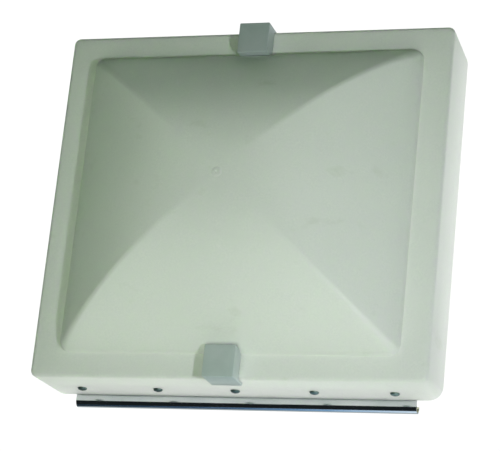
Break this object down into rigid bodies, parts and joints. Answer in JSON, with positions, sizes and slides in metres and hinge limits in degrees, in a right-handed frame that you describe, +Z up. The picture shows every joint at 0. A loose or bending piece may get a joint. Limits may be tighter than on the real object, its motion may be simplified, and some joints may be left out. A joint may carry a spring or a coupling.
{
  "type": "roof vent cover",
  "caption": "Nearly square domed plastic lid for a caravan roof vent, with a deep skirt, a riveted rolled hinge, edge clips and an underside lift rail.",
  "frame": {"origin": "centre of the bounding box, in the plane on which the lid lies when put down, which touches the underside of the hinge roll", "axes": "+X along the hinge, +Y from the hinge side to the far side, +Z up through the dome's apex"},
  "size_m": [0.41, 0.3842, 0.1617],
  "materials": {
    "lid_plastic": "translucent white polypropylene with a fine moulded grain",
    "clear_plastic": "cloudy translucent plastic with glossy edges",
    "plated_steel": "bright zinc plate",
    "rivet_metal": "dull dark aluminium",
    "mandrel_steel": "snapped steel",
    "rail_metal": "galvanised",
    "screw_steel": "zinc plated",
    "nylon": "natural nylon"
  },
  "bodies": {
    "hinge_base": {"hinge_base_strip": "plated_steel"},
    "lid": {"lid_shell": "lid_plastic", "hinge_lid_strip": "plated_steel", "hinge_rivet_1": "rivet_metal", "hinge_rivet_2": "rivet_metal", "hinge_rivet_3": "rivet_metal", "hinge_rivet_4": "rivet_metal", "hinge_rivet_5": "rivet_metal", "rivet_mandrel_1": "mandrel_steel", "rivet_mandrel_2": "mandrel_steel", "rivet_mandrel_3": "mandrel_steel", "rivet_mandrel_4": "mandrel_steel", "rivet_mandrel_5": "mandrel_steel", "edge_clip_hinge_side": "clear_plastic", "edge_clip_far_side": "clear_plastic", "lift_rail": "rail_metal", "rail_screw_hinge_side_1": "screw_steel", "rail_screw_hinge_side_2": "screw_steel", "rail_screw_far_side_1": "screw_steel", "rail_screw_far_side_2": "screw_steel"},
    "lift_shoe": {"lift_shoe": "nylon"}
  },
  "joints": [
    {"name": "lid_hinge", "type": "hinge", "parent": "hinge_base", "child": "lid", "pos_m": [0, -0.1861, 0.006], "axis": [1, 0, 0], "range_deg": [0, 65]},
    {"name": "shoe_slide", "type": "slide", "parent": "lid", "child": "lift_shoe", "axis": [0, 1, 0], "range_m": [-0.07, 0.2]}
  ]
}
